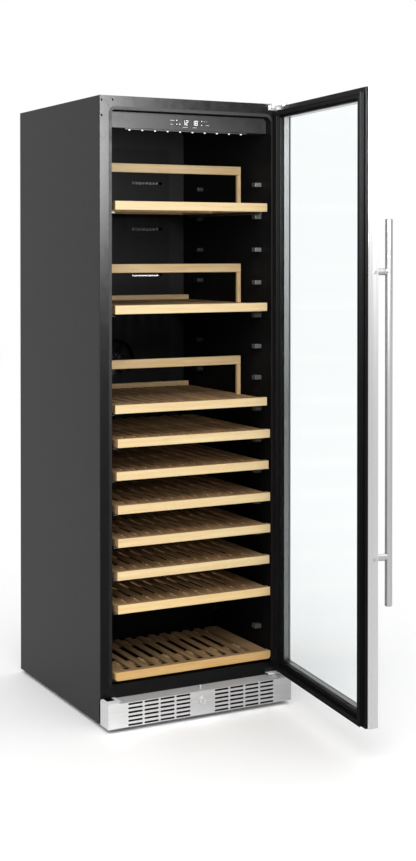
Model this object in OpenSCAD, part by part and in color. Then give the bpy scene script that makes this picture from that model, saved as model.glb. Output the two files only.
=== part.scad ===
// Full-height free-standing wine cooler: glass door hung on the right, ten beech
// shelves on lugs, a control panel under the ceiling, a vented stainless kick plate
// and a compressor compartment in the lower back.
// The origin is on the floor under the middle of the cabinet, the front faces -Y,
// and the door stands open by door_angle.

/* [Cabinet] */
// Width over the side panels
cabinet_w = 595; // [594:1:600]
// Depth from the front flange to the back panel
cabinet_d = 631; // [628:1:640]
// Height from the floor to the top panel
cabinet_h = 1788; // [1786:1:1795]
// Clear width of the opening
opening_w = 522; // [521:1:523]
// Height of the opening's lower edge above the floor
opening_z0 = 118; // [117:0.5:118]
// Height of the opening's upper edge above the floor
opening_z1 = 1749; // [1746:1:1750]
// Inside face of the back wall, from the middle of the cabinet
cavity_back_y = 262; // [260:1:268]
// Thickness of the outer sheet metal and of the moulded liner
sheet_t = 1; // [0.8:0.1:1.2]
// Free height under the cabinet, set by the feet
foot_h = 10; // [10:1:12]

/* [Compressor compartment] */
// Front of the compartment, from the middle of the cabinet
niche_y = 95; // [90:1:100]
// Height of the compartment's ceiling
niche_z = 260; // [255:1:262]
// Thickness of the insulated step that covers it
step_t = 35; // [30:1:36]

/* [Shelves] */
// Width of every shelf
shelf_w = 498; // [494:1:498]
// Depth of a full shelf
shelf_d = 505; // [490:1:510]
// Depth of the short bottom shelf
bottom_shelf_d = 340; // [300:1:350]
// Top of the highest display shelf
shelf_z_high = 1491; // [1485:1:1495]
// Top of the second display shelf
shelf_z_second = 1194; // [1190:1:1200]
// Top of the third display shelf, the first of the close rows
shelf_z_third = 911; // [910:1:914]
// Spacing of the close rows
row_pitch = 94.2; // [93:0.1:94.5]
// Top of the bottom shelf
shelf_z_bottom = 154; // [150:1:156]
// How far a shelf draws out
shelf_travel = 190; // [150:5:190]
// Height of a shelf's front strip
strip_h = 25; // [23:1:26]

/* [Door] */
// Angle by which the door stands open
door_angle = 82.7; // [75:0.1:95]
// Lower edge of the door above the floor
door_z0 = 97.5; // [97:0.5:98]
// Upper edge of the door above the floor
door_z1 = 1778; // [1776:1:1778]
// Width of the stainless and black borders round the glass
door_border = 34; // [33:1:36]
// Distance from the cabinet's side to the hinge axis
hinge_inset = 12.8; // [12:0.1:14]
// Distance from the front flange forward to the hinge axis
hinge_forward = 32.5; // [32:0.1:34]

/* [Handle] */
// Diameter of the handle bar
bar_d = 20; // [18:1:22]
// Lower end of the bar
bar_z0 = 411; // [400:1:450]
// Upper end of the bar
bar_z1 = 1433; // [1400:1:1450]
// Height of the lower post
post_z0 = 541; // [520:1:560]
// Height of the upper post
post_z1 = 1294; // [1280:1:1310]
// Distance from the door's face to the middle of the bar
bar_standoff = 41; // [38:1:50]

/* [Kick plate] */
// How far the kick plate stands in front of the flange
kick_forward = 55.5; // [54:0.5:57]
// Upper edge of the kick plate
kick_z1 = 80; // [79:0.5:80.5]
// Rows of air slots
slot_rows = 6; // [4:1:6]
// Columns of air slots on each side of the lock
slot_columns = 4; // [2:1:4]
// Radius of the key cylinder
lock_r = 10; // [8:0.5:11]

/* [Hidden] */
$fn = 48;

// Gap that keeps neighbouring solids of one node apart
seam = 0.05;
// Front flange plane and back panel plane
front_y = -cabinet_d / 2;
back_y = cabinet_d / 2;
half_w = cabinet_w / 2;
half_open = opening_w / 2;
flange_t = 8;
// Outside faces of the liner, where the insulation starts
liner_x = half_open + sheet_t;
foam_x = half_w - sheet_t;
step_y = niche_y - step_t;
step_z = niche_z + step_t + 2 * sheet_t;

// Shelves, counted from the top: their upper faces, and how far their front edges
// stand behind the flange
SHELF_Z = [shelf_z_high, shelf_z_second, for (row = [0:6]) shelf_z_third - row * row_pitch,
    shelf_z_bottom];
SHELF_SET = [2, 2, 3, -15, -7, -16, -17, -12, -16, -9];
DISPLAY_SHELVES = 3;
LAST_SHELF = 9;
strip_t = 20;
slat_count = 10;
slat_pitch = 40;
deck_drop = 4;
slat_t = 6;
runner_h = 8.5;
runner_x = 236;
runner_w = 12;
// A lug's upper face lies this far under the shelf's upper face
lug_drop = strip_h - 1 + runner_h + 0.5;
lug_h = 13;

// Display rack on the three upper shelves, narrow enough to pass between the lugs
post_w = 12;
rack_x = 238;
rack_y = 148;
rack_rail_z = 90;
rack_rail_h = 26;
rear_rail_y = shelf_d - post_w - 1;
rear_rail_z = 12;

// Door outline when shut, [low x, low z, high x, high z]
hinge_x = half_w - hinge_inset;
hinge_y = front_y - hinge_forward;
DOOR = [2.5 - half_w, door_z0, half_w - 0.5, door_z1];
door_back = front_y - 12;
liner_back = front_y - 19.5;
door_front = front_y - 49;
pane_t = 4;
hinge_pin_r = 4;
bush_r = 7;
bush_l = 18;
handle_x = DOOR[0] + 20;
handle_y = door_front - bar_standoff;

// Control panel
fascia_y = front_y + 30;
fascia_z0 = 1701;
fascia_x = half_open - 1.5;
button_r = 4;
BUTTONS = [[-41, 1729], [-41, 1717.5], [41, 1729], [41, 1717.5]];
// Middles of the two displays
DISPLAY_X = [-12.5, 18.5];
led_count = 10;
led_pitch = 40.8;

// Kick plate and lock
kick_y = front_y - kick_forward;
kick_z0 = 11;
lock_z = 51;
bolt_x = 3;
bolt_y = front_y - 32;
// Half the bolt's width and depth
BOLT = [2.5, 4];

// Fans
duct_y = cavity_back_y - 34;
fan_z = 1000;
fan_r = 56;
condenser_fan_r = 68;
CONDENSER_FAN = [34, 210, 130];

// Box given by its lowest and highest corners
module block(lo, hi) {
    translate(lo) cube(hi - lo);
}

// Flat drawing in X and Z, made into a plate from y0 to y1
module xz_plate(y0, y1) {
    translate([0, y1, 0]) rotate([90, 0, 0]) linear_extrude(y1 - y0) children();
}

// Round bar along Y
module y_bar(r, at, y0, y1) {
    translate([at[0], y0, at[1]]) rotate([-90, 0, 0]) cylinder(r = r, h = y1 - y0);
}

// Round bar along X
module x_bar(r, at, x0, x1) {
    translate([x0, at[0], at[1]]) rotate([0, 90, 0]) cylinder(r = r, h = x1 - x0);
}

// Rectangle drawn in by the same amount on every side
function inset(r, by) = [r[0] + by, r[1] + by, r[2] - by, r[3] - by];

// The four mitred sides between two rectangles, each a polygon, apart by twice the gap
function mitred(o, i, gap) = [
    [[o[0], o[1] + gap], [o[0], o[3] - gap], [i[0], i[3] - gap], [i[0], i[1] + gap]],
    [[o[2], o[1] + gap], [o[2], o[3] - gap], [i[2], i[3] - gap], [i[2], i[1] + gap]],
    [[o[0] + gap, o[1]], [o[2] - gap, o[1]], [i[2] - gap, i[1]], [i[0] + gap, i[1]]],
    [[o[0] + gap, o[3]], [o[2] - gap, o[3]], [i[2] - gap, i[3]], [i[0] + gap, i[3]]]];

// Ring of four mitred bars from y0 to y1
module mitred_ring(o, i, y0, y1, gap = seam) {
    for (side = mitred(o, i, gap)) xz_plate(y0, y1) polygon(side);
}

// Level slot with round ends, drawn flat
module slot_outline(length, height) {
    square([length - height, height], center = true);
    for (end = [-1, 1]) translate([end * (length - height) / 2, 0]) circle(d = height);
}

// Swings what is drawn for the shut door to the angle at which the door stands open
module hung() {
    translate([hinge_x, hinge_y, 0]) rotate([0, 0, door_angle])
        translate([-hinge_x, -hinge_y, 0]) children();
}

// ---- Cabinet casing ----

module side_panel(side) {
    x0 = side < 0 ? -half_w : half_w - sheet_t;
    color("#47484a") block([x0, front_y + flange_t, foot_h],
        [x0 + sheet_t, back_y, cabinet_h - sheet_t]);
}

module top_panel() {
    color("#47484a") block([-half_w, front_y + flange_t, cabinet_h - sheet_t],
        [half_w, back_y, cabinet_h]);
}

module back_panel() {
    color("#3a3b3c") difference() {
        block([-foam_x, back_y - sheet_t, foot_h], [foam_x, back_y, cabinet_h - sheet_t]);
        for (row = [0:7], column = [-2:2])
            xz_plate(back_y - 2, back_y + 1)
                translate([30 + column * 88, 80 + row * 20]) slot_outline(70, 6);
        block([-258, back_y - 2, 40], [-218, back_y + 1, 70]);
    }
}

FEET = [for (x = [-255, 255], y = [front_y + 25, back_y - 35]) [x, y]];

module base_plate() {
    color("#8e9092") difference() {
        block([-294, kick_y + 3, foot_h], [294, back_y - sheet_t, foot_h + 2]);
        for (foot = FEET) translate([foot[0], foot[1], foot_h - 1]) cylinder(r = 5.2, h = 4);
    }
}

module levelling_feet() {
    color("#202020") for (foot = FEET) translate([foot[0], foot[1], 0]) {
        cylinder(r = 20, h = 7);
        cylinder(r = 5, h = 34);
        cylinder(r = 9, h = foot_h, $fn = 6);
    }
}

// Two holes above each other and one beside them, as a hinge plate needs
SPARE_HOLES = [[4.7 - half_w, 1774], [4.7 - half_w, 1731], [-258.8, 1776.5]];
spare_hole_r = 3.5;
BRACKET_SCREWS = [[258, 1776], [281, 1776], [248, 92.5], [270, 92.5]];

module front_flange() {
    color("#5a5b5d") difference() {
        mitred_ring([-half_w, kick_z1, half_w, cabinet_h],
            [-half_open, opening_z0, half_open, opening_z1], front_y, front_y + flange_t, 0.2);
        for (hole = SPARE_HOLES)
            y_bar(spare_hole_r, hole, front_y - 1, front_y + flange_t + 1);
        for (hole = BRACKET_SCREWS) y_bar(2.2, hole, front_y - 1, front_y + flange_t + 1);
    }
}

// Foamed walls, as boards that meet at narrow seams
module insulation_boards() {
    y0 = front_y + flange_t + seam;
    y1 = back_y - sheet_t - seam;
    lid_z = opening_z1 + sheet_t;
    color("#e8dfb8") {
        for (side = [0, 1]) mirror([side, 0, 0]) {
            block([liner_x, y0, niche_z + seam], [foam_x, y1, cabinet_h - sheet_t]);
            block([liner_x, y0, kick_z1 + 1], [foam_x, niche_y, niche_z]);
        }
        x1 = liner_x - seam;
        block([-x1, y0, lid_z], [x1, y1, cabinet_h - sheet_t]);
        block([-x1, cavity_back_y + sheet_t, step_z - sheet_t + seam], [x1, y1, lid_z - seam]);
        block([-x1, step_y, niche_z + seam], [x1, y1, step_z - sheet_t]);
        block([-x1, step_y, kick_z1 + 1], [x1, niche_y, niche_z]);
        block([-x1, y0, kick_z1 + 1], [x1, step_y - seam, opening_z0 - sheet_t]);
    }
}

// Side view of the cold space, grown by the given amount
module cavity_side(grow) {
    polygon([[front_y + flange_t, opening_z0 - grow], [step_y - sheet_t + grow, opening_z0 - grow],
        [step_y - sheet_t + grow, step_z - grow], [cavity_back_y + grow, step_z - grow],
        [cavity_back_y + grow, opening_z1 + grow], [front_y + flange_t, opening_z1 + grow]]);
}

// Prism with a side view, w wide
module across(w) {
    translate([-w / 2, 0, 0]) rotate([90, 0, 90]) linear_extrude(w) children();
}

module inner_liner() {
    color("#161616") difference() {
        across(2 * liner_x) cavity_side(sheet_t);
        translate([0, -1, 0]) across(opening_w) cavity_side(0);
        across(opening_w) cavity_side(0);
    }
}

// Upper faces of the lugs: one under each shelf, and more about 95 apart between them
LUG_Z = [shelf_z_high + 97 - lug_drop, for (i = [0:LAST_SHELF - 1])
    let(steps = round((SHELF_Z[i] - SHELF_Z[i + 1]) / 95))
    for (k = [0:steps - 1]) SHELF_Z[i] - lug_drop - k * (SHELF_Z[i] - SHELF_Z[i + 1]) / steps];

module shelf_lugs() {
    color("#77797b") for (side = [0, 1], top = LUG_Z, y = [-247, top < 320 ? 20 : 130])
        mirror([side, 0, 0])
            block([runner_x + 3, y - 11, top - lug_h], [half_open, y + 11, top]);
}

// ---- Cooling ----

// Fan rotor about Z: a hub and slanted blades
module rotor(r, hub_r, depth, blades) {
    cylinder(r = hub_r, h = depth, center = true);
    for (i = [0:blades - 1]) rotate([0, 0, i * 360 / blades])
        translate([hub_r - 2, 0, 0]) rotate([32, 0, 0])
            translate([0, -depth / 2, -1]) cube([r - hub_r, depth, 2]);
}

module air_duct() {
    wall = 3;
    color("#1d1d1d") {
        difference() {
            block([-190, duct_y, 330], [190, cavity_back_y - 0.1, 1680]);
            block([-187, duct_y + wall, 333], [187, cavity_back_y + 1, 1677]);
            y_bar(fan_r + 6, [0, fan_z], duct_y - 1, duct_y + wall + 1);
            for (z = [430, 580, 730, 1270, 1420, 1570], x = [-110, 110])
                xz_plate(duct_y - 1, duct_y + wall + 1) translate([x, z]) slot_outline(110, 8);
        }
        for (turn = [0:2]) translate([0, duct_y + 1.5, fan_z]) rotate([0, 60 * turn, 0])
            cube([2 * fan_r + 14, 3, 3], center = true);
    }
}

module circulation_fan() {
    color("#303234") translate([0, duct_y + 17, fan_z]) rotate([90, 0, 0])
        rotor(fan_r, 18, 18, 7);
}

module evaporator() {
    y0 = duct_y + 8;
    y1 = cavity_back_y - 5;
    color("#b9bdc1") {
        for (i = [0:24]) translate([-150 + i * 12.5, y0, 1160]) cube([0.6, y1 - y0, 430]);
        for (row = [0:5]) x_bar(4, [(y0 + y1) / 2, 1195 + row * 72], -158, 158);
    }
}

module compressor() {
    color("#1b1c1e") translate([-140, 205, 0]) {
        difference() {
            translate([-85, -70, 24]) cube([170, 140, 3]);
            for (x = [-70, 70], y = [-55, 55]) translate([x, y, 23]) cylinder(r = 6.5, h = 5);
        }
        rotate_extrude() polygon([[0, 27], [52, 27], [70, 40], [75, 60], [75, 78], [78, 80],
            [78, 84], [75, 86], [75, 150], [66, 178], [40, 193], [0, 197]]);
        translate([70, -28, 95]) cube([28, 56, 60]);
        for (y = [-18, 18]) translate([-30, y, 185]) cylinder(r = 4, h = 45);
    }
}

module compressor_mounts() {
    color("#2b2b2b") translate([-140, 205, 0]) for (x = [-70, 70], y = [-55, 55])
        translate([x, y, foot_h + 2]) {
            cylinder(r = 12, h = 12);
            cylinder(r = 6.4, h = 18);
        }
}

module condenser() {
    at = CONDENSER_FAN;
    color("#6d6f70") {
        for (i = [0:14]) translate([62, 135 + i * 10.5, 40]) cube([190, 0.6, 180]);
        for (y = [132, 286]) block([52, y, foot_h + 2], [256, y + 2, 232]);
        for (x = [90, 140, 190, 230], z = [62, 106, 150, 194]) y_bar(4.8, [x, z], 128, 292);
        difference() {
            block([50, 130, foot_h + 2], [53, 290, 232]);
            x_bar(condenser_fan_r + 4, [at[1], at[2]], 49, 54);
        }
        block([4, at[1] - 6, 40], [8, at[1] + 6, 220]);
        for (z = [40, 216]) block([4, at[1] - 6, z], [51, at[1] + 6, z + 4]);
        x_bar(20, [at[1], at[2]], 6, 22);
    }
}

module condenser_fan() {
    color("#303234") translate(CONDENSER_FAN) rotate([0, 90, 0])
        rotor(condenser_fan_r, 20, 20, 5);
}

module power_inlet() {
    color("#151515") {
        difference() {
            union() {
                block([-257.5, back_y - 26, 40.5], [-218.5, back_y, 69.5]);
                block([-266, back_y, 36], [-210, back_y + 2, 74]);
            }
            block([-250, back_y - 22, 46], [-226, back_y + 3, 64]);
        }
        for (pin = [[-245, 52], [-238, 58], [-231, 52]])
            block([pin[0] - 1, back_y - 23, pin[1] - 2], [pin[0] + 1, back_y - 6, pin[1] + 2]);
    }
}

// ---- Control panel ----

module control_fascia() {
    color("#68696b") difference() {
        block([-fascia_x, fascia_y, fascia_z0], [fascia_x, fascia_y + 50, opening_z1 - 3]);
        block([-fascia_x + 3, fascia_y + 3, fascia_z0 + 3],
            [fascia_x - 3, fascia_y + 51, opening_z1 - 6]);
        for (at = BUTTONS) y_bar(button_r + 0.3, at, fascia_y - 1, fascia_y + 4);
        for (x = DISPLAY_X)
            block([x - 12, fascia_y - 1, 1713], [x + 12, fascia_y + 1.5, 1733]);
    }
}

module display_windows() {
    color("#1e2022") for (x = DISPLAY_X)
        block([x - 12, fascia_y - 0.2, 1713], [x + 12, fascia_y + 1.5, 1733]);
}

module push_button(at) {
    color("#0f0f0f") {
        y_bar(button_r, at, fascia_y - 1.5, fascia_y + 6);
        y_bar(button_r + 1.2, at, fascia_y + 4.5, fascia_y + 6);
    }
}

module led_strip() {
    color("#f4f4f0") {
        block([-200, fascia_y + 12, fascia_z0 - 3], [200, fascia_y + 24, fascia_z0]);
        for (i = [0:led_count - 1])
            translate([(i - (led_count - 1) / 2) * led_pitch, fascia_y + 18, fascia_z0 - 3])
                sphere(r = 3, $fn = 24);
    }
}

// ---- Kick plate and lock ----

// Middle of the lowest slot next to the lock, the spacing of the slots, and their size
SLOT_FIRST = [62.5, 16.5];
SLOT_PITCH = [50.4, 11.75];
slot_l = 45;
slot_h = 5.6;
seat_t = 2.2;

// Raised seat for a lower hinge at the end of the ledge, with a slanted inner corner
module hinge_seat(rear_y) {
    translate([0, 0, kick_z1 - 0.5]) linear_extrude(seat_t + 0.5)
        polygon([[half_w - 1, kick_y + 2], [half_w - 34, kick_y + 2], [half_w - 46, kick_y + 14],
            [half_w - 46, rear_y], [half_w - 1, rear_y]]);
}

module kick_plate() {
    inner_y = kick_y + 1.5;
    rear_y = front_y - 0.3;
    color("#cfd0d1") difference() {
        union() {
            xz_plate(kick_y, inner_y) difference() {
                translate([-half_w, kick_z0]) square([cabinet_w, kick_z1 - kick_z0]);
                for (side = [-1, 1], column = [0:slot_columns - 1], row = [0:slot_rows - 1])
                    translate([side * (SLOT_FIRST[0] + column * SLOT_PITCH[0]),
                        SLOT_FIRST[1] + row * SLOT_PITCH[1]]) slot_outline(slot_l, slot_h);
            }
            for (side = [0, 1]) mirror([side, 0, 0])
                block([half_w - 1.5, kick_y + 1, kick_z0], [half_w, rear_y, kick_z1]);
            block([1 - half_w, kick_y + 1, kick_z1 - 1.5], [half_w - 1, rear_y, kick_z1]);
            for (side = [0, 1]) mirror([side, 0, 0]) hinge_seat(rear_y);
            y_bar(lock_r + 3, [0, lock_z], inner_y - 0.5, inner_y + 12);
        }
        y_bar(lock_r + 0.05, [0, lock_z], kick_y - 1, inner_y + 13);
        block([-288, front_y - 26, kick_z1 - 2], [-263, front_y, kick_z1 + seat_t + 1]);
        bolt_space(0.6, kick_z1 - 2, kick_z1 + 1);
    }
}

module lock_cylinder() {
    color("#b8b9bb") difference() {
        union() {
            y_bar(lock_r, [0, lock_z], kick_y - 1.5, kick_y + 15.5);
            block([0, kick_y + 15, lock_z - 4], [14, kick_y + 18, lock_z + 4]);
        }
        block([-1, kick_y - 2, lock_z - 4.5], [1, kick_y + 4, lock_z + 4.5]);
    }
}

// Upright bar with the bolt's section, or a hole for it with a gap all round
module bolt_space(gap, z0, z1) {
    block([bolt_x - BOLT[0] - gap, bolt_y - BOLT[1] - gap, z0],
        [bolt_x + BOLT[0] + gap, bolt_y + BOLT[1] + gap, z1]);
}

module lock_bolt() {
    color("#b8b9bb") bolt_space(0, 44, 92);
}

// ---- Hinges ----

// Hinge plate against the flange with a leaf forward to the axis; the leaf's faces are
// at z0 and z1, the plate spans plate_z and starts at x0
module hinge_bracket(x0, z0, z1, plate_z) {
    difference() {
        block([x0, front_y - 3, plate_z[0]], [half_w - 1.5, front_y, plate_z[1]]);
        for (hole = BRACKET_SCREWS) y_bar(2.2, hole, front_y - 4, front_y + 1);
    }
    translate([0, 0, z0]) linear_extrude(z1 - z0) {
        translate([x0, front_y - 22]) square([half_w - 1.5 - x0, 21]);
        translate([hinge_x - 11, hinge_y]) square([22, hinge_forward - 1]);
        translate([hinge_x, hinge_y]) circle(r = 11);
    }
}

module hinge_bracket_top() {
    color("#c4c5c7") {
        hinge_bracket(250, cabinet_h - 4, cabinet_h, [1769, cabinet_h]);
        translate([hinge_x, hinge_y, door_z1 - 15])
            cylinder(r = hinge_pin_r, h = cabinet_h - 2 - door_z1 + 15);
    }
}

module hinge_bracket_bottom() {
    color("#c4c5c7") {
        hinge_bracket(238, 84, 88, [83, 99]);
        translate([hinge_x, hinge_y, 86]) cylinder(r = hinge_pin_r, h = door_z0 + 15 - 86);
    }
}

module hinge_screws() {
    color("#d5d6d8") for (at = BRACKET_SCREWS) {
        y_bar(4, at, front_y - 5, front_y - 3);
        y_bar(2, at, front_y - 3.5, front_y + flange_t - 1);
    }
}

// ---- Door, drawn shut and then swung open ----

module door_frame() {
    color("#c9cacc") hung() difference() {
        union() {
            mitred_ring(DOOR, inset(DOOR, 20), door_front, liner_back);
            mitred_ring(inset(DOOR, 10), inset(DOOR, door_border), door_front, door_front + 3.5);
        }
        for (z = [door_z0 - 1, door_z1 - bush_l])
            translate([hinge_x, hinge_y, z]) cylinder(r = bush_r, h = bush_l + 1);
        bolt_space(1.5, door_z0 - 1, door_z0 + 16);
    }
}

module hinge_bushes() {
    color("#303030") hung() for (z = [door_z0, door_z1 - bush_l])
        translate([hinge_x, hinge_y, z]) difference() {
            cylinder(r = bush_r, h = bush_l);
            translate([0, 0, -1]) cylinder(r = hinge_pin_r + 0.05, h = bush_l + 2);
        }
}

module door_liner() {
    color("#141414") hung() {
        mitred_ring(inset(DOOR, 1), inset(DOOR, door_border), liner_back, door_back);
        mitred_ring(inset(DOOR, 22), inset(DOOR, door_border), liner_back - 2.4, liner_back + 1);
    }
}

module door_gasket() {
    outer = [DOOR[0] + 13, door_z0 + 3, DOOR[2] - 13, door_z1 - 13];
    color("#0c0c0c") hung() mitred_ring(outer, inset(outer, 16), door_back, front_y - 0.5);
}

module pane(y0) {
    area = inset(DOOR, 22);
    block([area[0], y0, area[1]], [area[2], y0 + pane_t, area[3]]);
}

outer_pane_y = door_front + 3.6;
inner_pane_y = liner_back - 2.5 - pane_t;

module outer_glass() {
    color("#cfe8ee", 0.4) hung() pane(outer_pane_y);
}

module inner_glass() {
    color("#cfe8ee", 0.4) hung() pane(inner_pane_y);
}

module glass_spacer() {
    color("#d9dadc") hung()
        mitred_ring(inset(DOOR, 25), inset(DOOR, door_border), outer_pane_y + pane_t, inner_pane_y);
}

module handle_bar() {
    chamfer = 1.5;
    r = bar_d / 2;
    color("#d2d3d5") hung() translate([handle_x, handle_y, 0]) rotate_extrude()
        polygon([[0, bar_z0], [r - chamfer, bar_z0], [r, bar_z0 + chamfer],
            [r, bar_z1 - chamfer], [r - chamfer, bar_z1], [0, bar_z1]]);
}

module handle_posts() {
    color("#d2d3d5") hung() for (z = [post_z0, post_z1]) {
        difference() {
            y_bar(9, [handle_x, z], handle_y, door_front);
            translate([handle_x, handle_y, z - 15]) cylinder(d = bar_d, h = 30);
        }
        x_bar(5, [door_front + 9, z], DOOR[0] - 2, DOOR[0]);
    }
}

// ---- Shelves ----

// Half the width of a shelf; the fixed bottom shelf fills the opening
function half_shelf(i) = shelf_w / 2 + (i == LAST_SHELF ? 5 : 0);

// Strip seen from above, its two front corners rounded
module strip_plan(x1, r) {
    translate([r - x1, 0]) square([2 * (x1 - r), strip_t]);
    translate([-x1, r]) square([2 * x1, strip_t - r]);
    for (side = [-1, 1]) translate([side * (x1 - r), r]) circle(r = r);
}

// Strip seen from the front, its lower and its upper corners rounded
module strip_elevation(x1, low, high) {
    translate([-x1, low]) square([2 * x1, strip_h - low - high]);
    translate([low - x1, 0]) square([2 * (x1 - low), low]);
    translate([high - x1, strip_h - high]) square([2 * (x1 - high), high]);
    for (side = [-1, 1]) {
        translate([side * (x1 - low), low]) circle(r = low);
        translate([side * (x1 - high), strip_h - high]) circle(r = high);
    }
}

// Beech strip across the front of a shelf, with rounded ends
module shelf_front(i) {
    color("#e8c795") translate([0, front_y + SHELF_SET[i], SHELF_Z[i] - strip_h])
        if (i == LAST_SHELF) xz_plate(0, strip_t) strip_elevation(half_shelf(i), 9, 5);
        else linear_extrude(strip_h) strip_plan(half_shelf(i), 2);
}

// Slatted deck behind the strip, its two runners and, on a display shelf, the rack
module shelf_deck(i) {
    depth = i == LAST_SHELF ? bottom_shelf_d : shelf_d;
    x1 = half_shelf(i);
    slat_w = i == LAST_SHELF ? 21 : 25;
    inner_x = ((slat_count + 1) * slat_pitch - slat_w) / 2;
    below = i == LAST_SHELF ? SHELF_Z[i] - strip_h - opening_z0 - 0.3 : runner_h;
    bars = i == LAST_SHELF ? [118, depth - 12] : [95, 285, depth - 12];
    color("#c99c66") translate([0, front_y + SHELF_SET[i], SHELF_Z[i]]) {
        for (side = [0, 1]) mirror([side, 0, 0]) {
            block([inner_x, strip_t, 1 - strip_h], [x1, depth, -deck_drop]);
            block([runner_x, strip_t + 10, 1 - strip_h - below],
                [runner_x + runner_w, depth - 5, 1 - strip_h - seam]);
        }
        for (k = [1:slat_count]) translate([-inner_x - slat_w + k * slat_pitch, strip_t, 0])
            block([0, 0, -deck_drop - slat_t], [slat_w, depth - strip_t, -deck_drop]);
        for (y = bars) block([-x1 + 5, y - 13, -22], [x1 - 5, y + 12, -deck_drop - 3]);
        if (i < DISPLAY_SHELVES) display_rack();
    }
}

// Arch of two posts and a rail that bottles lean on, and the low rail behind it
module display_rack() {
    for (side = [0, 1]) mirror([side, 0, 0])
        block([rack_x - post_w, rack_y - post_w / 2, seam - deck_drop],
            [rack_x, rack_y + post_w / 2, rack_rail_z - seam]);
    block([-rack_x, rack_y - post_w / 2, rack_rail_z],
        [rack_x, rack_y + post_w / 2, rack_rail_z + rack_rail_h]);
    block([-rack_x, rear_rail_y, seam - deck_drop], [rack_x, rear_rail_y + post_w, rear_rail_z]);
}

side_panel(-1);  // side_panel_left
side_panel(1);  // side_panel_right
top_panel();
back_panel();
base_plate();
front_flange();
insulation_boards();
inner_liner();
shelf_lugs();
air_duct();
circulation_fan();
evaporator();
control_fascia();
display_windows();
push_button(BUTTONS[0]);  // button_power
push_button(BUTTONS[1]);  // button_light
push_button(BUTTONS[2]);  // button_up
push_button(BUTTONS[3]);  // button_down
led_strip();
kick_plate();
lock_cylinder();
lock_bolt();
hinge_bracket_top();
hinge_bracket_bottom();
hinge_screws();
compressor();
compressor_mounts();
condenser();
condenser_fan();
power_inlet();
levelling_feet();
door_frame();
door_liner();
door_gasket();
outer_glass();
inner_glass();
glass_spacer();
hinge_bushes();
handle_bar();
handle_posts();
for (i = [0:LAST_SHELF]) {
    shelf_front(i);
    shelf_deck(i);
}
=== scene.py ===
"""Looks of the wine cooler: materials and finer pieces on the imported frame, light and camera."""
import math

import bmesh
import bpy
from mathutils import Matrix, Vector


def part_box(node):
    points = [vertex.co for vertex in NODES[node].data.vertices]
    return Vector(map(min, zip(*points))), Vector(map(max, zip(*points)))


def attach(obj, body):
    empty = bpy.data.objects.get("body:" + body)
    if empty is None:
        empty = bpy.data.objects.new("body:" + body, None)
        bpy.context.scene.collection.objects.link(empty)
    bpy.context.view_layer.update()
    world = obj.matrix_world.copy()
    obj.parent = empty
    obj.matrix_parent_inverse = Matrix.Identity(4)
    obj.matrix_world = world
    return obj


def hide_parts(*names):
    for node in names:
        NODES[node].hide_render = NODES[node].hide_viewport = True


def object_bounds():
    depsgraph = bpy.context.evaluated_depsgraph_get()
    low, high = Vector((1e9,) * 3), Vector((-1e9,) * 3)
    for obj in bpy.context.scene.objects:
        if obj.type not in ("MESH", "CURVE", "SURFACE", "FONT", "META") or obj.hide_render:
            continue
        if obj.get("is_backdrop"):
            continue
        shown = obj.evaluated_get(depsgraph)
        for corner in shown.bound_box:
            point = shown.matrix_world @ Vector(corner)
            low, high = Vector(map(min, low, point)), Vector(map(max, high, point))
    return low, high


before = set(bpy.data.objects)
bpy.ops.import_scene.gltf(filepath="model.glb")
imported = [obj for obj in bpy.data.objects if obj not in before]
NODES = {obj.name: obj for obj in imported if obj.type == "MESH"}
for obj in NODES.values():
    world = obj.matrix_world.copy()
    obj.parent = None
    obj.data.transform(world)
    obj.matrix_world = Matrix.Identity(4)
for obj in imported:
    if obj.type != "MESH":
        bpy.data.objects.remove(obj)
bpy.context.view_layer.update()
SCENE = bpy.context.scene

# Places that the frame's boxes don't give, in metres
FRONT_Y = -0.3155
HINGE = Vector((0.2847, -0.348, 0.0))
DOOR_TURN = math.radians(82.7)
# From the shut door's place to the place where the open door rests
HUNG = Matrix.Translation(HINGE) @ Matrix.Rotation(DOOR_TURN, 4, "Z") @ Matrix.Translation(-HINGE)

# Shelves that carry a display rack, the lowest shelf, and the slats of each
DISPLAY_SHELVES = (1, 2, 3)
LAST_SHELF = 10
SLATS = 10
SLAT_PITCH = 0.04


# ---- Meshes ----

def mesh_object(name, bm, material, body):
    """Turns a bmesh into an object with one or more materials that rides on a body."""
    bmesh.ops.recalc_face_normals(bm, faces=bm.faces)
    mesh = bpy.data.meshes.new(name)
    bm.to_mesh(mesh)
    bm.free()
    for one in material if isinstance(material, (list, tuple)) else [material]:
        mesh.materials.append(one)
    obj = bpy.data.objects.new(name, mesh)
    SCENE.collection.objects.link(obj)
    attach(obj, body)
    return obj


def add_box(bm, low, high, index=0):
    """Adds a closed box, its faces with the material of that index."""
    corners = [bm.verts.new((x, y, z)) for x in (low[0], high[0]) for y in (low[1], high[1])
               for z in (low[2], high[2])]
    for quad in ((0, 1, 3, 2), (4, 6, 7, 5), (0, 4, 5, 1), (2, 3, 7, 6), (0, 2, 6, 4),
                 (1, 5, 7, 3)):
        face = bm.faces.new([corners[i] for i in quad])
        face.material_index = index


def add_prism(bm, outline, front, back):
    """Adds an outline of (x, z) points, drawn along Y from front to back."""
    ends = [[bm.verts.new((x, y, z)) for x, z in outline] for y in (front, back)]
    bm.faces.new(ends[0])
    bm.faces.new(list(reversed(ends[1])))
    for i in range(len(outline)):
        j = (i + 1) % len(outline)
        bm.faces.new((ends[0][i], ends[1][i], ends[1][j], ends[0][j]))


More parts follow.
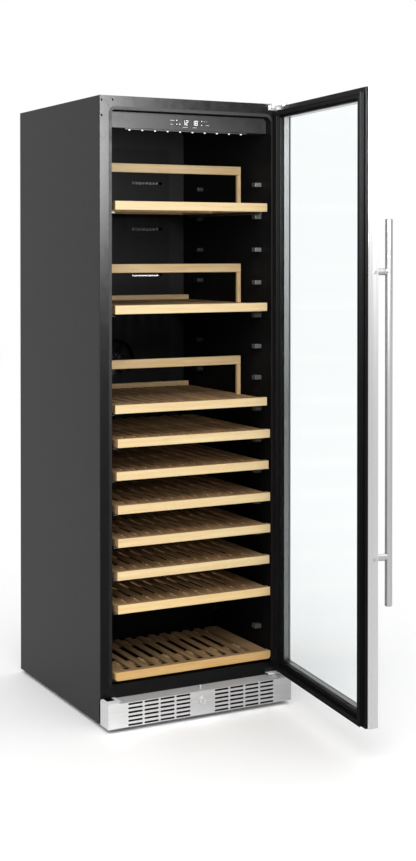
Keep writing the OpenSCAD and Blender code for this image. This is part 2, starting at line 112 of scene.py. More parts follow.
def add_ring(bm, outline, rect):
    """Sweeps an outline (inset, depth) round a rectangle (low x, low z, high x, high z)."""
    x0, z0, x1, z1 = rect
    loops = []
    for inset, depth in outline:
        loops.append([bm.verts.new(p) for p in (
            (x0 + inset, depth, z0 + inset), (x1 - inset, depth, z0 + inset),
            (x1 - inset, depth, z1 - inset), (x0 + inset, depth, z1 - inset))])
    for i, loop in enumerate(loops):
        after = loops[(i + 1) % len(loops)]
        for k in range(4):
            m = (k + 1) % 4
            bm.faces.new((loop[k], loop[m], after[m], after[k]))


def add_disc(bm, at, radius, depth, steps=24):
    """Adds a short round bar along Y, its front at at[1]."""
    outline = [(at[0] + radius * math.cos(2 * math.pi * i / steps),
                at[2] + radius * math.sin(2 * math.pi * i / steps)) for i in range(steps)]
    add_prism(bm, outline, at[1], at[1] + depth)


def soften(obj, width, segments=2, angle=32.0, weld=True):
    """Rounds an object's sharp edges by modifiers, which leave its own vertices alone."""
    for name in [a.name for a in obj.data.attributes if a.name == "custom_normal"]:
        obj.data.attributes.remove(obj.data.attributes[name])
    obj.data.polygons.foreach_set("use_smooth", [True] * len(obj.data.polygons))
    if weld:
        joined = obj.modifiers.new("Weld", "WELD")
        joined.merge_threshold = 0.00001
        flat = obj.modifiers.new("Flat", "DECIMATE")
        flat.decimate_type = "DISSOLVE"
        flat.angle_limit = math.radians(0.4)
    bevel = obj.modifiers.new("Bevel", "BEVEL")
    bevel.width = width
    bevel.segments = segments
    bevel.limit_method = "ANGLE"
    bevel.angle_limit = math.radians(angle)
    bevel.miter_outer = "MITER_SHARP"
    normals = obj.modifiers.new("Normals", "WEIGHTED_NORMAL")
    normals.weight = 80


# ---- Materials ----

class Look:
    """A material with one Principled shader, and short ways to add nodes to it."""

    def __init__(self, name, **values):
        self.material = bpy.data.materials.new(name)
        self.material.use_nodes = True
        self.tree = self.material.node_tree
        self.shader = self.tree.nodes["Principled BSDF"]
        for socket, value in values.items():
            self.shader.inputs[socket.replace("_", " ")].default_value = value

    def add(self, kind, inputs=None, **properties):
        """Adds a node, each of its inputs given as a value or as a socket to link."""
        node = self.tree.nodes.new(kind)
        for key, value in properties.items():
            setattr(node, key, value)
        for key, value in (inputs or {}).items():
            if isinstance(value, bpy.types.NodeSocket):
                self.tree.links.new(value, node.inputs[key])
            else:
                node.inputs[key].default_value = value
        return node

    def to(self, socket, output):
        """Links a pattern or colour to one of the shader's inputs."""
        self.tree.links.new(output, self.shader.inputs[socket])

    def place(self, scale=(1, 1, 1), turn=0.0):
        """Object coordinates, turned about Z and then stretched."""
        where = self.add("ShaderNodeTexCoord").outputs["Object"]
        if turn:
            where = self.add("ShaderNodeVectorRotate", {"Vector": where, "Angle": turn},
                             rotation_type="Z_AXIS").outputs[0]
        return self.add("ShaderNodeMapping", {"Vector": where, "Scale": scale}).outputs[0]

    def along(self, axis):
        """Object coordinate on one axis, in metres."""
        where = self.add("ShaderNodeTexCoord").outputs["Object"]
        return self.add("ShaderNodeSeparateXYZ", {"Vector": where}).outputs["xyz".index(axis)]

    def noise(self, where, scale, detail=3.0, rough=0.5):
        """A cloudy pattern from 0 to 1, mostly between 0.3 and 0.7."""
        return self.add("ShaderNodeTexNoise", {"Vector": where, "Scale": scale, "Detail": detail,
                                               "Roughness": rough}).outputs["Fac"]

    def span(self, value, low, high, start=0.3, end=0.7):
        """Maps a value from start to end onto a range from low to high."""
        return self.add("ShaderNodeMapRange", {"Value": value, "From Min": start, "From Max": end,
                                               "To Min": low, "To Max": high}).outputs[0]

    def blend(self, factor, one, two):
        """Mixes two colours, each a colour or a socket."""
        node = self.add("ShaderNodeMix", data_type="RGBA")
        for key, value in ((0, factor), (6, one), (7, two)):
            if isinstance(value, bpy.types.NodeSocket):
                self.tree.links.new(value, node.inputs[key])
            else:
                node.inputs[key].default_value = value if key == 0 else (*value, 1.0)
        return node.outputs[2]

    def scaled(self, colour, amount):
        """A colour made brighter or darker by a pattern."""
        return self.add("ShaderNodeVectorMath", {0: colour, "Scale": amount},
                        operation="SCALE").outputs[0]

    def bump(self, height, strength, distance):
        """A normal that follows a pattern as if it were a height."""
        return self.add("ShaderNodeBump", {"Height": height, "Strength": strength,
                                           "Distance": distance}).outputs[0]


def paint(name, colour, rough, spread=0.10, grain=700.0, depth=0.08, metallic=0.0, spec=0.5,
          uneven=0.05):
    """Powder coat or moulded plastic: a faint cloudiness and a fine orange-peel surface."""
    look = Look(name, Metallic=metallic, Specular_IOR_Level=spec)
    cloud = look.noise(look.place(), 6.0, 4.0)
    light = [min(1.0, c * (1 + spread)) for c in colour]
    dark = [c * (1 - spread) for c in colour]
    look.to("Base Color", look.blend(look.span(cloud, 0.0, 1.0), dark, light))
    fine = look.noise(look.place(), grain, 2.0)
    patches = look.noise(look.place(), 35.0, 5.0)
    look.to("Roughness", look.span(patches, rough - uneven, rough + uneven))
    look.to("Normal", look.bump(fine, depth, 0.0004))
    return look.material


def brushed(name, colour, rough, along="x", turn=0.0, contrast=0.06, cross=1400.0, painted_shade=None):
    """Metal brushed along one axis: long fine streaks in tone, gloss and surface.

    A painted shade (axis, start, end, low, high) paints light and shade into the colour: it makes
    the metal lighter or darker along an axis.
    """
    stretch = {"x": (4.0, cross, cross), "z": (cross, cross, 4.0), "y": (cross, 4.0, cross)}[along]
    look = Look(name, Metallic=1.0)
    streak = look.noise(look.place(stretch, turn), 1.0, 6.0, 0.6)
    wide = look.noise(look.place(tuple(s / 12 for s in stretch), turn), 1.0, 3.0)
    mixed = look.add("ShaderNodeMath", {0: streak, 1: wide}, operation="ADD").outputs[0]
    tone = look.span(mixed, 0.0, 1.0, 0.7, 1.3)
    shade = look.blend(tone, [c * (1 - contrast) for c in colour],
                       [min(1.0, c * (1 + contrast)) for c in colour])
    if painted_shade:
        axis, start, end, low, high = painted_shade
        shade = look.scaled(shade, look.span(look.along(axis), low, high, start, end))
    look.to("Base Color", shade)
    look.to("Roughness", look.span(mixed, rough - 0.06, rough + 0.07, 0.7, 1.3))
    look.to("Normal", look.bump(streak, 0.06, 0.0003))
    return look.material


def wood(name, pale, deep, along, pitch=0.0, flecks=0.5):
    """Beech: straight grain along one axis, small dark flecks, and a tone for each board.

    Boards lie side by side along X, one at each multiple of the pitch.
    """
    order = {"x": (3.0, 90.0, 90.0), "y": (90.0, 3.0, 90.0), "z": (90.0, 90.0, 3.0)}[along]
    look = Look(name, Specular_IOR_Level=0.06)
    warp = look.noise(look.place((5.0, 5.0, 5.0)), 1.0, 2.0)
    shifted = look.add("ShaderNodeVectorMath", {0: look.place(order), 1: warp},
                       operation="ADD").outputs[0]
    grain = look.noise(shifted, 1.0, 6.0, 0.62)
    fine = look.noise(look.place(tuple(s * 6 for s in order)), 1.0, 3.0, 0.6)
    colour = look.blend(look.span(grain, 0.0, 1.0, 0.32, 0.68), deep, pale)
    if pitch:
        board = look.add("ShaderNodeMath", {0: look.along("x"), 1: pitch}, operation="DIVIDE")
        whole = look.add("ShaderNodeMath", {0: board.outputs[0]}, operation="ROUND")
        chance = look.add("ShaderNodeTexWhiteNoise", {"W": whole.outputs[0]},
                          noise_dimensions="1D")
        colour = look.scaled(colour, look.span(chance.outputs["Value"], 0.78, 1.12, 0.0, 1.0))
    colour = look.scaled(colour, look.span(fine, 1.0, 1.0 - flecks / 2, 0.58, 0.75))
    look.to("Base Color", colour)
    look.to("Roughness", look.span(grain, 0.49, 0.63))
    look.to("Normal", look.bump(fine, 0.15, 0.0004))
    return look.material


def glowing(name, colour, strength):
    """A lamp or a lit segment, a little uneven; also used for a faint painted glow on print."""
    look = Look(name, Roughness=0.4)
    cloud = look.span(look.noise(look.place(), 900.0, 2.0), 0.0, 1.0)
    look.to("Base Color", look.blend(cloud, [c * 0.92 for c in colour], colour))
    look.to("Emission Color", look.blend(cloud, [c * 0.9 for c in colour], colour))
    look.shader.inputs["Emission Strength"].default_value = strength
    return look.material


def clear_glass(name):
    """Float glass with the faint blue-green of a coated pane."""
    look = Look(name, Roughness=0.0, IOR=1.05, Transmission_Weight=1.0)
    cloud = look.span(look.noise(look.place(), 3.0, 2.0), 0.0, 1.0)
    look.to("Base Color", look.blend(cloud, (0.982, 1.0, 1.0), (0.988, 1.0, 1.0)))
    return look.material


ANTHRACITE = paint("anthracite_paint", (0.0145, 0.0147, 0.0152), 0.50, 0.01, 900.0, 0.08,
                   spec=0.17, uneven=0.008)
FLANGE = paint("flange_paint", (0.0030, 0.0030, 0.0031), 0.36, 0.04, 1100.0, 0.04, spec=0.10)
BEAD = paint("bead_black", (0.009, 0.009, 0.0092), 0.60, 0.05, 1100.0, 0.04, spec=0.10)
CHASSIS = paint("chassis_black", (0.004, 0.004, 0.004), 0.55, 0.12, 500.0, 0.08, spec=0.06)
FOAM = paint("insulation_foam", (0.78, 0.68, 0.42), 0.85, 0.12, 260.0, 0.6)
LINER = paint("liner_black", (0.004, 0.004, 0.0041), 0.50, 0.12, 800.0, 0.06, spec=0.06)
LUG = paint("lug_grey", (0.060, 0.062, 0.065), 0.5, 0.1, 900.0, 0.1, spec=0.3)
LUG_REAR_SHADED = paint("lug_rear_painted_shade", (0.010, 0.010, 0.011), 0.5, 0.1, 900.0, 0.1, spec=0.1)
DUCT = paint("duct_black", (0.0035, 0.0035, 0.0037), 0.50, 0.12, 800.0, 0.08, spec=0.04)
FAN = paint("fan_black", (0.010, 0.0105, 0.0115), 0.45, 0.1, 700.0, 0.08, spec=0.2)
FIN = brushed("fin_aluminium", (0.62, 0.64, 0.66), 0.34, "z", contrast=0.05)
FASCIA = paint("fascia_grey", (0.016, 0.016, 0.0168), 0.47, 0.04, 1300.0, 0.08, spec=0.10)
DISPLAY = paint("display_black", (0.016, 0.016, 0.017), 0.36, 0.05, 500.0, 0.01, spec=0.13)
BUTTON = paint("button_black", (0.004, 0.004, 0.004), 0.30, 0.1, 900.0, 0.03, spec=0.2)
COMPRESSOR = paint("compressor_black", (0.010, 0.010, 0.011), 0.28, 0.15, 350.0, 0.08)
RUBBER = paint("mount_rubber", (0.018, 0.018, 0.018), 0.75, 0.15, 600.0, 0.25)
INLET = paint("inlet_black", (0.010, 0.010, 0.010), 0.45, 0.1, 900.0, 0.10)
FOOT = paint("foot_black", (0.018, 0.018, 0.018), 0.6, 0.12, 700.0, 0.15)
DOOR_BLACK = paint("door_black", (0.0045, 0.0045, 0.0046), 0.42, 0.12, 1200.0, 0.04, spec=0.05)
GASKET = paint("gasket_rubber", (0.005, 0.005, 0.005), 0.60, 0.15, 900.0, 0.12, spec=0.04)
BUSH = paint("bush_black", (0.025, 0.025, 0.025), 0.55, 0.1, 900.0, 0.1)
LAMP_BASE = paint("lamp_base", (0.02, 0.02, 0.02), 0.5, 0.1, 900.0, 0.08, spec=0.2)
# Painted shade: the kick plate's brushed steel grows darker towards its right end.
STEEL_X = brushed("stainless_across", (0.72, 0.72, 0.725), 0.30, "x",
                  painted_shade=("x", -0.28, 0.28, 1.02, 0.60))
# Painted light: two matte copies of the same stainless steel, the ledge darker as painted shade,
# the hinge seats and the lower hinge bright as a painted highlight.
STEEL_LEDGE_SHADED = paint("stainless_ledge_painted_shade", (0.46, 0.46, 0.465), 0.55, 0.05, 300.0, 0.03, metallic=0.35)
STEEL_SEAT_LIT = paint("stainless_seat_painted_highlight", (0.80, 0.80, 0.805), 0.50, 0.04, 300.0, 0.03, metallic=0.3)
STEEL_Z = brushed("stainless_upright", (0.52, 0.52, 0.525), 0.28, "z", DOOR_TURN)
STEEL_RAIL = brushed("stainless_rail", (0.66, 0.66, 0.665), 0.28, "x", -DOOR_TURN)
# Painted shade: the handle's steel grows darker towards its top.
STEEL_BAR = brushed("stainless_bar", (0.42, 0.42, 0.425), 0.30, "z",
                    painted_shade=("z", 1.1, 1.35, 1.0, 0.65))
BRACKET = brushed("bracket_steel", (0.66, 0.66, 0.68), 0.26, "x", contrast=0.05)
BRACKET_SHADE = paint("bracket_painted_shade", (0.006, 0.006, 0.0062), 0.45, 0.1, 900.0, 0.06, spec=0.2)
RING = paint("ring_steel", (0.50, 0.50, 0.505), 0.55, 0.05, 300.0, 0.03, metallic=0.3, spec=0.3)
RUNNER = brushed("runner_steel", (0.18, 0.18, 0.185), 0.40, "y", contrast=0.06)
SCREW = brushed("screw_steel", (0.45, 0.45, 0.46), 0.22, "x", contrast=0.03, cross=3000.0)
# Painted reflection: the glass spacer grows darker towards the bottom, as if it mirrored something
# dark below.
SPACER = brushed("spacer_aluminium", (0.62, 0.63, 0.64), 0.34, "z", contrast=0.04,
                 painted_shade=("z", 0.9, 1.6, 0.32, 1.0))
GLASS = clear_glass("clear_glass")
LED = glowing("led_white", (1.0, 1.0, 0.97), 0.8)
SEGMENT = glowing("segment_white", (0.93, 0.95, 1.0), 0.9)
# Painted light: the printed marks glow faintly, though they are no lamp.
PRINT_GLOW = glowing("print_painted_glow", (0.55, 0.56, 0.58), 0.12)
BEECH_FRONT = wood("beech_front", (0.84, 0.66, 0.38), (0.76, 0.55, 0.28), "x", flecks=0.35)
BEECH_MID = wood("beech_front_mid", (0.86, 0.64, 0.33), (0.77, 0.53, 0.24), "x", flecks=0.4)
BEECH_LOW = wood("beech_front_low", (0.70, 0.455, 0.195), (0.61, 0.37, 0.14), "x", flecks=0.4)
# Painted shade: a darker copy of the strips' beech for their top and end faces.
BEECH_TOP_SHADED = wood("beech_top_painted_shade", (0.40, 0.265, 0.14), (0.30, 0.185, 0.09), "x", flecks=0.4)
# Painted shade: the deck's slats and side boards are a darker beech than the strips, for the shade
# inside the cabinet.
BEECH_SLAT_SHADED = wood("beech_slat_painted_shade", (0.44, 0.29, 0.155), (0.32, 0.195, 0.095), "y",
                  pitch=SLAT_PITCH)
BEECH_BAR = wood("beech_bar", (0.52, 0.34, 0.17), (0.42, 0.26, 0.12), "x")
BEECH_RACK = wood("beech_rack", (0.74, 0.55, 0.30), (0.62, 0.42, 0.20), "x")
BEECH_POST = wood("beech_post", (0.74, 0.55, 0.30), (0.62, 0.42, 0.20), "z")

# CAD node: its material and how far its edges are rounded
FINISH = {
    "side_panel_left": (ANTHRACITE, 0.0004), "side_panel_right": (ANTHRACITE, 0.0004),
    "top_panel": (ANTHRACITE, 0.0004), "back_panel": (ANTHRACITE, 0.0),
    "base_plate": (CHASSIS, 0.0003), "front_flange": (FLANGE, 0.0012),
    "insulation_boards": (FOAM, 0.0), "inner_liner": (LINER, 0.0),
    "shelf_lugs": (LUG, 0.0015), "air_duct": (DUCT, 0.0008), "circulation_fan": (FAN, 0.0),
    "condenser_fan": (FAN, 0.0), "evaporator": (FIN, 0.0), "condenser": (FIN, 0.0),
    "control_fascia": (FASCIA, 0.0006), "display_windows": (DISPLAY, 0.0003),
    "button_power": (BUTTON, 0.0004), "button_light": (BUTTON, 0.0004),
    "button_up": (BUTTON, 0.0004), "button_down": (BUTTON, 0.0004), "led_strip": (LED, 0.0),
    "kick_plate": (STEEL_X, 0.0005), "lock_cylinder": (BRACKET, 0.0005),
    "lock_bolt": (BRACKET, 0.0006), "hinge_bracket_top": (BRACKET, 0.0006),
    "hinge_bracket_bottom": (STEEL_SEAT_LIT, 0.0006), "hinge_screws": (SCREW, 0.0004),
    "compressor": (COMPRESSOR, 0.0012), "compressor_mounts": (RUBBER, 0.001),
    "power_inlet": (INLET, 0.0008), "levelling_feet": (FOOT, 0.001),
    "door_liner": (DOOR_BLACK, 0.0012), "outer_glass": (GLASS, 0.0006),
    "inner_glass": (GLASS, 0.0006), "glass_spacer": (SPACER, 0.0004),
    "hinge_bushes": (BUSH, 0.0004), "handle_bar": (STEEL_BAR, 0.0),
    "handle_posts": (STEEL_BAR, 0.0006), "door_frame": (STEEL_Z, 0.0012),
}


def give(obj, *materials):
    """Replaces an object's materials."""
    obj.data.materials.clear()
    for one in materials:
        obj.data.materials.append(one)


for node, (material, width) in FINISH.items():
    give(NODES[node], material)
    if width:
        soften(NODES[node], width)


def paint_faces(node, material, chosen):
    """Gives a second material to the faces of a node that chosen(centre, normal) picks."""
    mesh = NODES[node].data
    mesh.materials.append(material)
    for polygon in mesh.polygons:
        if chosen(polygon.center, polygon.normal):
            polygon.material_index = len(mesh.materials) - 1


# Under side of the lamp strip's base
LED_BASE_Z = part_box("led_strip")[1].z - 0.003
# Between the kick plate's ledge and the hinge seats on it
LEDGE_Z = 0.081
# Top of the lower hinge's level plate, and the thickness of its upright one
HINGE_PLATE_Z = 0.088
HINGE_PLATE_T = 0.003
# Between the lower and the upper hinge screws
LOW_Z = 0.2
# A face looks along an axis when at least this much of its normal lies on it
FACING = 0.9
# Leeway when the place of a face is compared
SLACK = 0.0001

paint_faces("led_strip", LAMP_BASE, lambda at, way: at.z > LED_BASE_Z - SLACK)
# Painted shade: the rear lugs, deep in the cabinet, are drawn near-black, darker than the front
# ones.
paint_faces("shelf_lugs", LUG_REAR_SHADED, lambda at, way: at.y > 0)
# The kick plate's level faces: the low ledge gets the painted shade, the raised hinge seats the
# painted highlight.
paint_faces("kick_plate", STEEL_LEDGE_SHADED, lambda at, way: way.z > FACING and at.z < LEDGE_Z)
paint_faces("kick_plate", STEEL_SEAT_LIT, lambda at, way: way.z > FACING and at.z >= LEDGE_Z)
# Painted shade: the lower hinge's upright plate and its screws are painted near-black, as they sit
# in shade.
paint_faces("hinge_bracket_bottom", BRACKET_SHADE,
            lambda at, way: at.y > FRONT_Y - HINGE_PLATE_T - SLACK
            and at.z > HINGE_PLATE_Z + SLACK)
paint_faces("hinge_screws", BRACKET_SHADE, lambda at, way: at.z < LOW_Z)


# ---- Shelves ----

# Fronts of the side boards and the slats, behind the strip's front
BOARD_FRONT, SLAT_FRONT = 0.0206, 0.0202
# Depths under the strip's top
BOARD_TOP, BOARD_FOOT, SLAT_FOOT = 0.004, 0.024, 0.010
BAR_TOP, BAR_FOOT, RUNNER_TOP = 0.0102, 0.0235, 0.0242
# How far a crossbar stops short of the shelf's side, half its width, and its crests' height
BAR_END, HALF_BAR, CREST = 0.006, 0.0125, 0.0052
# The same for the bar at the rear edge, its width, and how far it stays inside that edge
REAR_END, REAR_W, REAR_GAP = 0.005, 0.024, 0.001
# A runner's outer and inner edges, its sheet, and its ends inside the shelf's front and back
RUNNER_OUT, RUNNER_IN, RUNNER_T = 0.248, 0.236, 0.0015
RUNNER_FRONT, RUNNER_BACK = 0.032, 0.006
# Display rack: its middle behind the strip's front, half its thickness and its half width
RACK_Y, HALF_POST, RACK_X = 0.148, 0.006, 0.238
# Its posts' width, depth under and height over the strip's top, and its rail's two edges
POST_W, RACK_FOOT, POST_TOP, RAIL_LOW, RAIL_HIGH = 0.012, 0.0038, 0.0899, 0.090, 0.116
# Width and height of the low rail at the rear edge
LOW_RAIL_W, LOW_RAIL_TOP = 0.012, 0.012


def shelf_numbers(number):
    """Front, top, half width, slat width, crossbar middles, depth and lowest point."""
    low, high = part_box(f"shelf_front_{number}")
    deck_low, deck_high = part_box(f"shelf_deck_{number}")
    last = number == LAST_SHELF
    slat = 0.021 if last else 0.025
    bars = (0.118,) if last else (0.095, 0.285)
    return low.y, high.z, high.x, slat, bars, deck_high.y - low.y, deck_low.z


def crossbar(bm, front, top, half, middle, slat, every):
    """A bar under the slats with a rounded crest in the gaps between them."""
    side, face = half - BAR_END, top - BAR_TOP
    outline = [(-side, top - BAR_FOOT), (side, top - BAR_FOOT), (side, face)]
    wide = (SLAT_PITCH - slat) / 2 - 0.0008
    for k in range(SLATS, -1, -every):
        mid = (k - SLATS / 2) * SLAT_PITCH
        outline.append((mid + wide, face))
        for step in range(9):
            turn = math.pi * step / 8
            outline.append((mid + wide * math.cos(turn) * (0.55 + 0.45 * abs(math.cos(turn))),
                            top - SLAT_FOOT + CREST * math.sin(turn)))
        outline.append((mid - wide, face))
    outline.append((-side, face))
    add_prism(bm, outline, front + middle - HALF_BAR, front + middle + HALF_BAR)


def build_deck(number, body, front, top, half, slat, back):
    """The slats and the boards at both sides of them, in place of the CAD deck."""
    inner = ((SLATS + 1) * SLAT_PITCH - slat) / 2
    bm = bmesh.new()
    for side in (-1, 1):
        x0, x1 = sorted((side * inner, side * half))
        add_box(bm, (x0, front + BOARD_FRONT, top - BOARD_FOOT), (x1, back, top - BOARD_TOP))
    for k in range(SLATS):
        x0 = -inner - slat + (k + 1) * SLAT_PITCH
        add_box(bm, (x0, front + SLAT_FRONT, top - SLAT_FOOT), (x0 + slat, back, top - BOARD_TOP))
    deck = mesh_object(f"deck_{number}", bm, BEECH_SLAT_SHADED, body)
    soften(deck, 0.0022, 3, weld=False)
    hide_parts(f"shelf_deck_{number}")


def build_runners(number, body, front, back, low, high):
    """Two folded channels under the deck, open to the inside."""
    bm = bmesh.new()
    for side in (-1, 1):
        section = [(RUNNER_OUT, low), (RUNNER_OUT, high), (RUNNER_IN, high),
                   (RUNNER_IN, high - RUNNER_T), (RUNNER_OUT - RUNNER_T, high - RUNNER_T),
                   (RUNNER_OUT - RUNNER_T, low + RUNNER_T), (RUNNER_IN, low + RUNNER_T),
                   (RUNNER_IN, low)]
        add_prism(bm, [(side * x, z) for x, z in section], front + RUNNER_FRONT,
                  back - RUNNER_BACK)
    soften(mesh_object(f"runners_{number}", bm, RUNNER, body), 0.0003, 1,
           weld=False)


def build_rack(number, body, front, top, back):
    """Two posts with a rail on them, and a low rail at the deck's rear edge."""
    y0, y1 = front + RACK_Y - HALF_POST, front + RACK_Y + HALF_POST
    foot, rear = top - RACK_FOOT, back - REAR_GAP
    bm = bmesh.new()
    for side in (-1, 1):
        x0, x1 = sorted((side * (RACK_X - POST_W), side * RACK_X))
        add_box(bm, (x0, y0, foot), (x1, y1, top + POST_TOP), 1)
    add_box(bm, (-RACK_X, y0, top + RAIL_LOW), (RACK_X, y1, top + RAIL_HIGH))
    add_box(bm, (-RACK_X, rear - LOW_RAIL_W, foot), (RACK_X, rear, top + LOW_RAIL_TOP))
    rack = mesh_object(f"rack_{number}", bm, [BEECH_RACK, BEECH_POST], body)
    soften(rack, 0.0018, 3, weld=False)


def build_shelf(number):
    """Slatted deck with crested crossbars, its runners and, on the upper three, the rack."""
    front, top, half, slat, bars, depth, lowest = shelf_numbers(number)
    body = "cabinet" if number == LAST_SHELF else f"shelf_{number}"
    back = front + depth
    build_deck(number, body, front, top, half, slat, back)

    bm = bmesh.new()
    for middle in bars:
        crossbar(bm, front, top, half, middle, slat, 2 if number == LAST_SHELF else 1)
    end, rear = half - REAR_END, back - REAR_GAP
    add_box(bm, (-end, rear - REAR_W, top - BAR_FOOT), (end, rear, top - BAR_TOP))
    soften(mesh_object(f"crossbars_{number}", bm, BEECH_BAR, body), 0.0008, 2,
           50.0, weld=False)

    build_runners(number, body, front, back, lowest, top - RUNNER_TOP)
    if number in DISPLAY_SHELVES:
        build_rack(number, body, front, top, back)


# The two lowest strips are darker
STRIP_WOOD = {9: BEECH_MID, 10: BEECH_LOW}
for number in range(1, LAST_SHELF + 1):
    strip = NODES[f"shelf_front_{number}"]
    give(strip, STRIP_WOOD.get(number, BEECH_FRONT))
    # Painted shade: the strip's top and end faces take the darker beech.
    paint_faces(f"shelf_front_{number}", BEECH_TOP_SHADED,
                lambda at, way: way.z > FACING or abs(way.x) > FACING)
    soften(strip, 0.0012, 3)
    build_shelf(number)


# ---- Door ----

def islands(mesh):
    """Groups of a mesh's polygons that hang together, by place of their corners."""
    parent = {}

    def root(key):
        while parent[key] != key:
            parent[key] = parent[parent[key]]
            key = parent[key]
        return key

    keys = [tuple(round(c, 5) for c in v.co) for v in mesh.vertices]
    for key in keys:
        parent.setdefault(key, key)
    for polygon in mesh.polygons:
        first = keys[polygon.vertices[0]]
        for v in polygon.vertices[1:]:
            a, b = root(first), root(keys[v])
            if a != b:
                parent[a] = b
    groups = {}
    for polygon in mesh.polygons:
        groups.setdefault(root(keys[polygon.vertices[0]]), []).append(polygon)
    return list(groups.values())


# The door frame's uprights are brushed up and down, and its short rails across
UPRIGHT_H = 0.5
frame_mesh = NODES["door_frame"].data
give(NODES["door_frame"], STEEL_Z, STEEL_RAIL)
for group in islands(frame_mesh):
    heights = [frame_mesh.vertices[v].co.z for p in group for v in p.vertices]
    upright = max(heights) - min(heights) > UPRIGHT_H
    for polygon in group:
        polygon.material_index = 0 if upright else 1

# Gasket of the shut door: its outer edges (low x, low z, high x, high z), the face it sits
# on, and its profile as distances from that edge (inset) and that face (depth)
GASKET_RECT = (-0.282, 0.1005, 0.284, 1.765)
GASKET_Y = -0.3275
GASKET_PROFILE = [(0.0, 0.0), (0.016, 0.0), (0.016, 0.0022), (0.0136, 0.0030), (0.0130, 0.0044),
                  (0.0142, 0.0058), (0.0154, 0.0068), (0.0156, 0.0100), (0.0146, 0.0112),
                  (0.0098, 0.0114), (0.0090, 0.0106), (0.0070, 0.0106), (0.0062, 0.0114),
                  (0.0016, 0.0112), (0.0006, 0.0100), (0.0008, 0.0068), (0.0022, 0.0058),
                  (0.0034, 0.0044), (0.0028, 0.0030), (0.0, 0.0022)]
bm = bmesh.new()
add_ring(bm, [(inset, GASKET_Y + depth) for inset, depth in GASKET_PROFILE], GASKET_RECT)
bm.transform(HUNG)
gasket = mesh_object("gasket_lip", bm, GASKET, "door")
soften(gasket, 0.0004, 2, weld=False)
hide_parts("door_gasket")


# ---- Control panel ----

FASCIA_Y = -0.2855
WINDOW_Y = FASCIA_Y - 0.0002
BUTTON_Y = FASCIA_Y - 0.0015
# Thickness of a lit or printed layer, and how far a printed one stands proud
FILM, PROUD = 0.0003, 0.00025
# A digit's place, size and pitch, and the degree mark after two digits
DIGIT_Z, DIGIT_W, DIGIT_H, DIGIT_PITCH = 1.7160, 0.0085, 0.0140, 0.0103
DEGREE_X, DEGREE_Z, DEGREE_R = 0.0212, 1.7295, 0.0006
# The lines of a seven-segment digit that are lit
SEGMENTS = {"1": "bc", "2": "abged", "8": "abcdefg"}
# Marks beside the buttons and the displays: low x, high x, middle z and height
MARKS = ((-0.0610, -0.0480, 1.7285, 0.0011), (-0.0610, -0.0530, 1.7170, 0.0011),
         (-0.0325, -0.0285, 1.7180, 0.0030), (-0.0200, -0.0050, 1.7096, 0.0011),
         (0.0120, 0.0260, 1.7096, 0.0011), (0.0490, 0.0510, 1.7285, 0.0020),
         (0.0560, 0.0580, 1.7285, 0.0016), (0.0550, 0.0660, 1.7175, 0.0011))


def add_digit(bm, digit, x, front):
    """A seven-segment digit, its left side at x."""
    thick, gap = 0.0015, 0.00025
    right, foot, head = x + DIGIT_W, DIGIT_Z, DIGIT_Z + DIGIT_H
    mid = (foot + head) / 2
    bars = {
        "a": (x + thick, right - thick, head - thick, head),
        "g": (x + thick, right - thick, mid - thick / 2, mid + thick / 2),
        "d": (x + thick, right - thick, foot, foot + thick),
        "f": (x, x + thick, mid + gap, head - gap),
        "b": (right - thick, right, mid + gap, head - gap),
        "e": (x, x + thick, foot + gap, mid - gap),
        "c": (right - thick, right, foot + gap, mid - gap),
    }
    for name in SEGMENTS[digit]:
        x0, x1, z0, z1 = bars[name]
        add_box(bm, (x0 + gap, front, z0), (x1 - gap, front + FILM, z1))


bm = bmesh.new()
for digits, start in (("12", -0.0220), ("18", 0.0090)):
    for place, digit in enumerate(digits):
        add_digit(bm, digit, start + place * DIGIT_PITCH, WINDOW_Y - FILM)
    add_disc(bm, (start + DEGREE_X, WINDOW_Y - FILM, DEGREE_Z), DEGREE_R, FILM, 12)
mesh_object("display_segments", bm, SEGMENT, "cabinet")

bm = bmesh.new()
for x0, x1, z, high in MARKS:
    add_box(bm, (x0, FASCIA_Y - PROUD, z - high / 2), (x1, FASCIA_Y + 0.0001, z + high / 2))
mesh_object("panel_marks", bm, PRINT_GLOW, "cabinet")

for key, x, z in (("power", -0.041, 1.729), ("light", -0.041, 1.7175),
                  ("up", 0.041, 1.729), ("down", 0.041, 1.7175)):
    bm = bmesh.new()
    add_disc(bm, (x, BUTTON_Y - PROUD, z), 0.0013, FILM)
    mesh_object(f"button_dot_{key}", bm, SEGMENT, f"{key}_key")


# ---- Rounded upper corners of the opening ----

# Side and radius of each corner
CORNER_RADII = ((-1, 0.010), (1, 0.022))
QUARTER_TURN = [math.pi / 2 * step / 8 for step in range(9)]
LINER_LOW, LINER_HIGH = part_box("inner_liner")
LINER_T = 0.001
INNER_X, CEILING = LINER_HIGH.x - LINER_T, LINER_HIGH.z - LINER_T


def upper_corners(name, material, front, back):
    """Fills the two upper corners of the opening so that they are round."""
    bm = bmesh.new()
    for side, radius in CORNER_RADII:
        outline = [(side * INNER_X, CEILING)]
        for turn in QUARTER_TURN:
            outline.append((side * (INNER_X - radius + radius * math.sin(turn)),
                            CEILING - radius + radius * math.cos(turn)))
        add_prism(bm, outline, front, back)
    corner = mesh_object(name, bm, material, "cabinet")
    corner.data.polygons.foreach_set("use_smooth", [False] * len(corner.data.polygons))


upper_corners("flange_corners", FLANGE, FRONT_Y + 0.0003, FRONT_Y + 0.008)
upper_corners("liner_corners", LINER, FRONT_Y + 0.009, LINER_HIGH.y - 0.002)


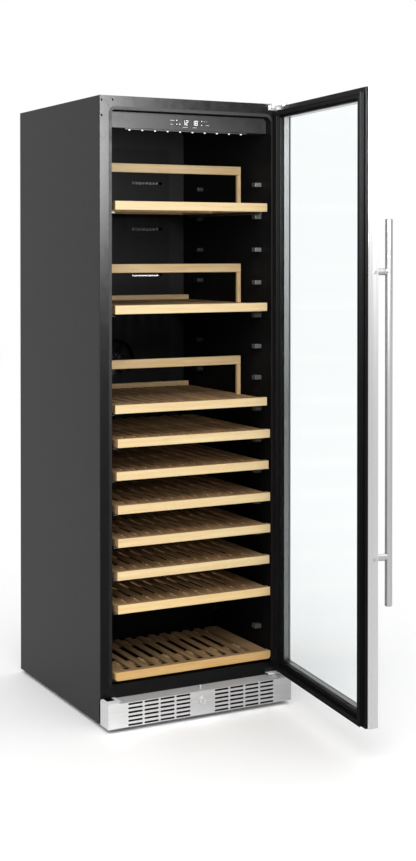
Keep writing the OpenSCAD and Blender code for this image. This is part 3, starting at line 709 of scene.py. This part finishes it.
def opening_bead():
    """A low bead along the opening's sides and top, round its corners."""
    bead_w, front, back = 0.009, FRONT_Y - 0.0003, FRONT_Y + 0.0002
    path = []
    for wide in (0.0, bead_w):
        halves = []
        for side, radius in CORNER_RADII:
            half = [(side * (INNER_X + wide), LINER_LOW.z + LINER_T)]
            for turn in QUARTER_TURN:
                half.append((side * (INNER_X - radius + (radius + wide) * math.cos(turn)),
                             CEILING - radius + (radius + wide) * math.sin(turn)))
            halves.append(half)
        path.append(halves[0] + list(reversed(halves[1])))
    bm = bmesh.new()
    loops = [[bm.verts.new((x, y, z)) for x, z in line] for line, y in (
        (path[0], front), (path[1], front), (path[1], back), (path[0], back))]
    for one, two in zip(loops, loops[1:] + loops[:1]):
        for i in range(len(one) - 1):
            bm.faces.new((one[i], one[i + 1], two[i + 1], two[i]))
    for end in (0, -1):
        bm.faces.new([loop[end] for loop in loops])
    mesh_object("opening_bead", bm, BEAD, "cabinet")


opening_bead()


# ---- Lock ----

# Radius and depth of the ring's section
RING_PROFILE = ((0.0136, 0.0), (0.0132, -0.0010), (0.0124, -0.0013), (0.0110, -0.0013),
                (0.0104, -0.0009), (0.0104, 0.0))


def lock_ring():
    """A raised ring on the kick plate, round the key cylinder."""
    low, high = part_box("lock_cylinder")
    # A little off the plate, so that the ring's back doesn't lie in its face
    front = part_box("kick_plate")[0].y - 0.00005
    middle_z = (low.z + high.z) / 2
    bm = bmesh.new()
    steps = 48
    turns = [2 * math.pi * i / steps for i in range(steps)]
    loops = [[bm.verts.new((radius * math.cos(turn), front + depth,
                            middle_z + radius * math.sin(turn))) for turn in turns]
             for radius, depth in RING_PROFILE]
    for one, two in zip(loops, loops[1:] + loops[:1]):
        for i in range(steps):
            j = (i + 1) % steps
            face = bm.faces.new((one[i], one[j], two[j], two[i]))
            face.smooth = True
    mesh_object("lock_ring", bm, RING, "cabinet")


lock_ring()


# ---- Floor, light and camera ----

def floor():
    """A plain pale floor that the shadows fall on."""
    look = Look("floor_pale", Roughness=0.7, Specular_IOR_Level=0.2, Emission_Strength=0.05)
    look.shader.inputs["Emission Color"].default_value = (1.0, 1.0, 1.0, 1.0)
    cloud = look.span(look.noise(look.place(), 1.5, 3.0), 0.0, 1.0)
    look.to("Base Color", look.blend(cloud, (0.94, 0.94, 0.94), (0.95, 0.95, 0.95)))
    bm = bmesh.new()
    bmesh.ops.create_grid(bm, x_segments=1, y_segments=1, size=15.0)
    mesh = bpy.data.meshes.new("floor")
    bm.to_mesh(mesh)
    bm.free()
    mesh.materials.append(look.material)
    obj = bpy.data.objects.new("floor", mesh)
    SCENE.collection.objects.link(obj)
    obj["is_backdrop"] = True


def area_light(name, at, to, size, power, gloss_only=False):
    """A soft rectangular light; a gloss-only one adds a highlight and no other light."""
    data = bpy.data.lights.new(name, "AREA")
    data.shape = "RECTANGLE"
    data.size, data.size_y = size
    data.energy = power
    obj = bpy.data.objects.new(name, data)
    obj.location = at
    obj.rotation_mode = "QUATERNION"
    obj.rotation_quaternion = (Vector(to) - Vector(at)).to_track_quat("-Z", "Y")
    obj.visible_camera = False
    if gloss_only:
        obj.visible_diffuse = False
        obj.visible_transmission = False
    SCENE.collection.objects.link(obj)


floor()
area_light("key", (-1.6, -3.4, 3.6), (0.0, -0.2, 0.8), (2.4, 2.4), 60.0)
area_light("corner", (-0.08, -1.41, 1.76), (-0.08, -0.30, 1.76), (0.30, 0.62), 170.0,
           gloss_only=True)

world = bpy.data.worlds.new("studio")
world.use_nodes = True
world.node_tree.nodes["Background"].inputs["Color"].default_value = (1.0, 1.0, 1.0, 1.0)
world.node_tree.nodes["Background"].inputs["Strength"].default_value = 1.0
SCENE.world = world
SCENE.view_settings.view_transform = "Standard"

camera = bpy.data.cameras.new("camera")
camera.sensor_width = 36.0
camera.lens = 60.85
camera.shift_y = -0.1893
camera.clip_start, camera.clip_end = 0.1, 100.0
eye = bpy.data.objects.new("camera", camera)
eye.location = (-1.9497, -4.0734, 1.3506)
eye.rotation_euler = (math.radians(90 - 0.676), 0.0, math.radians(-27.98))
SCENE.collection.objects.link(eye)
SCENE.camera = eye

low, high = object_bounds()
